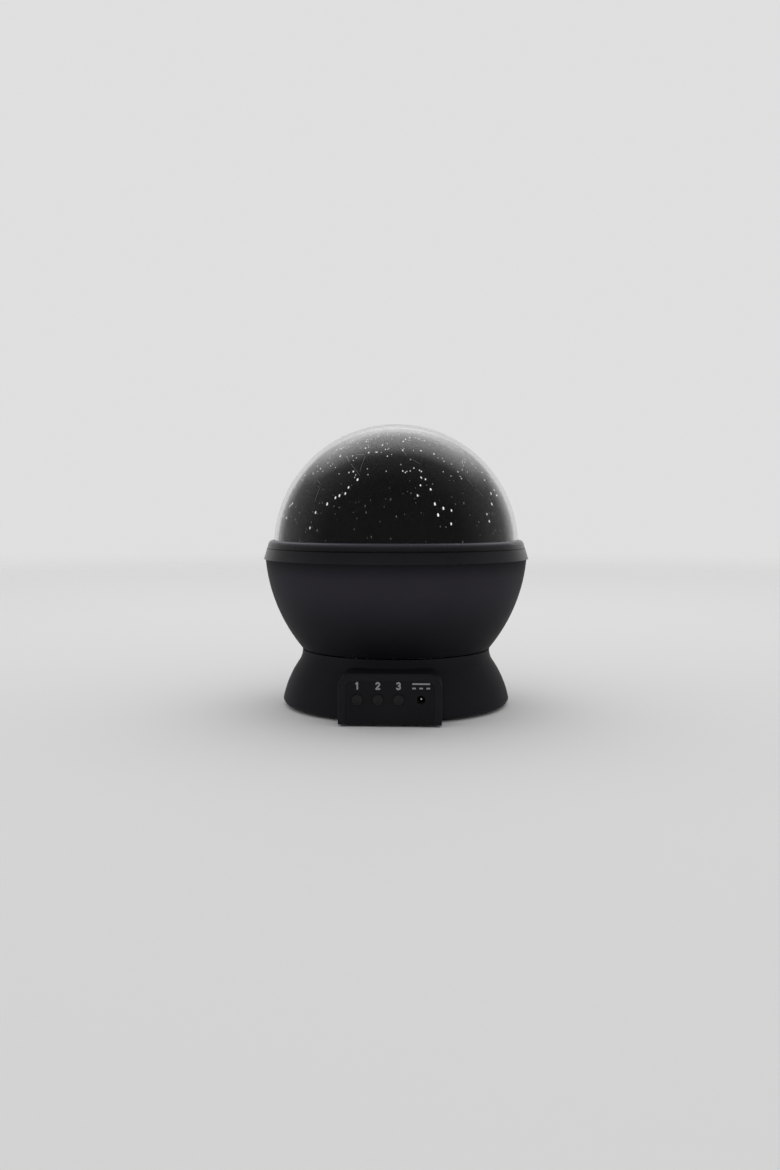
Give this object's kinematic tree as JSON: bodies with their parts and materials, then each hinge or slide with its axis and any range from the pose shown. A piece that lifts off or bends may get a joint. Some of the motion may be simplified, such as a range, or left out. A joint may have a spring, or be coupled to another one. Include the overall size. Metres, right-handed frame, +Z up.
{
  "type": "planetarium projector",
  "caption": "Table-top star projector: flared base with a control box, a motor-turned bowl, and a lift-off clear dome over a black star dome.",
  "frame": {"origin": "on the surface that the feet stand on, on the axis that the bowl turns about", "axes": "+Z up along the bowl's axis; the control box looks along -Y; +X to its right"},
  "size_m": [0.1262, 0.1262, 0.1337],
  "materials": {
    "black_shell": "satin moulded black, fine spark texture",
    "black_panel": "satin moulded black with pale printed marks",
    "black_plate": "moulded black, coarser texture",
    "black_bowl": "satin moulded black",
    "black_rim": "satin moulded black with polished edges",
    "button_black": "smooth black",
    "rubber_feet": "soft matt rubber",
    "dome_clear": "clear polished acrylic",
    "dome_black": "black film on acrylic, with clear stars",
    "screw_steel": "zinc plated",
    "pin_nickel": "nickel plated",
    "contact_nickel": "nickel plated",
    "terminal_brass": "bright",
    "motor_steel": "drawn steel",
    "board_green": "green solder mask",
    "board_white": "white solder mask",
    "switch_black": "moulded black",
    "capacitor_sleeve": "dark blue sleeve",
    "cell_jacket": "printed jacket, plain dark",
    "gear_white": "natural acetal",
    "washer_white": "slippery white",
    "post_white": "moulded white",
    "deck_white": "white reflector",
    "lamp_clear": "water-clear epoxy",
    "lead_red": "red insulation",
    "lead_black": "black insulation"
  },
  "bodies": {
    "base": {"base_shell": "black_shell", "control_panel": "black_panel", "base_plate": "black_plate", "feet": "rubber_feet", "base_screws": "screw_steel", "button_board": "board_green", "board_screws": "screw_steel", "switch_bodies": "switch_black", "board_chip": "switch_black", "board_capacitor": "capacitor_sleeve", "dc_jack": "switch_black", "jack_pin": "pin_nickel", "battery_cells": "cell_jacket", "battery_contacts": "contact_nickel", "battery_springs": "contact_nickel", "gearbox_tray": "gear_white", "gearbox_cover": "gear_white", "gear_pins": "screw_steel", "gearbox_screws": "screw_steel", "motor_can": "motor_steel", "motor_terminals": "terminal_brass", "lamp_post": "post_white", "post_screws": "screw_steel", "thrust_washer": "washer_white", "post_clip": "screw_steel", "lamp_holder": "post_white", "lamp_board": "board_white", "lamp_screws": "screw_steel", "lamps": "lamp_clear", "battery_lead": "lead_red", "motor_lead": "lead_black", "lamp_lead": "lead_black"},
    "battery_door": {"battery_door": "black_plate"},
    "button_1": {"button_1": "button_black", "switch_plunger_1": "switch_black"},
    "button_2": {"button_2": "button_black", "switch_plunger_2": "switch_black"},
    "button_3": {"button_3": "button_black", "switch_plunger_3": "switch_black"},
    "motor_rotor": {"motor_shaft": "screw_steel", "motor_pinion": "terminal_brass"},
    "first_gear": {"first_gear": "gear_white"},
    "second_gear": {"second_gear": "gear_white"},
    "output_gear": {"output_gear": "gear_white", "drive_pinion": "gear_white"},
    "bowl": {"bowl_shell": "black_bowl", "bowl_rim": "black_rim", "bowl_gear": "gear_white", "gear_screws": "screw_steel", "bowl_deck": "deck_white", "deck_screws": "screw_steel"},
    "cover": {"clear_dome": "dome_clear", "star_dome": "dome_black"},
    "lock_ring": {"lock_ring": "black_rim"}
  },
  "joints": [
    {"name": "bowl_spin", "type": "hinge", "parent": "base", "child": "bowl", "pos_m": [0, 0, 0], "axis": [0, 0, 1], "continuous": true},
    {"name": "output_spin", "type": "hinge", "parent": "base", "child": "output_gear", "pos_m": [-0.01733, -0.023, 0], "axis": [0, 0, 1], "continuous": true},
    {"name": "second_spin", "type": "hinge", "parent": "base", "child": "second_gear", "pos_m": [-0.00352, -0.02886, 0], "axis": [0, 0, 1], "continuous": true},
    {"name": "first_spin", "type": "hinge", "parent": "base", "child": "first_gear", "pos_m": [0.01115, -0.02574, 0], "axis": [0, 0, 1], "continuous": true},
    {"name": "motor_spin", "type": "hinge", "parent": "base", "child": "motor_rotor", "pos_m": [0.02274, -0.02264, 0], "axis": [0, 0, 1], "continuous": true},
    {"name": "cover_lift", "type": "slide", "parent": "bowl", "child": "cover", "axis": [0, 0, 1], "range_m": [0, 0.075]},
    {"name": "ring_turn", "type": "hinge", "parent": "cover", "child": "lock_ring", "pos_m": [0, 0, 0.075], "axis": [0, 0, 1], "range_deg": [-15, 0]},
    {"name": "button_1_press", "type": "slide", "parent": "base", "child": "button_1", "axis": [0, 1, 0], "range_m": [0, 0.0005], "stiffness_N_per_m": 400, "springref_m": -0.001},
    {"name": "button_2_press", "type": "slide", "parent": "base", "child": "button_2", "axis": [0, 1, 0], "range_m": [0, 0.0005], "stiffness_N_per_m": 400, "springref_m": -0.001},
    {"name": "button_3_press", "type": "slide", "parent": "base", "child": "button_3", "axis": [0, 1, 0], "range_m": [0, 0.0005], "stiffness_N_per_m": 400, "springref_m": -0.001},
    {"name": "door_tip", "type": "hinge", "parent": "base", "child": "battery_door", "pos_m": [0, -0.0057, 0.001], "axis": [-1, 0, 0], "range_deg": [0, 95]}
  ],
  "couplings": [
    {"joint": "output_spin", "follows": "bowl_spin", "ratio": -5},
    {"joint": "second_spin", "follows": "bowl_spin", "ratio": 20},
    {"joint": "first_spin", "follows": "bowl_spin", "ratio": -80},
    {"joint": "motor_spin", "follows": "bowl_spin", "ratio": 320}
  ]
}
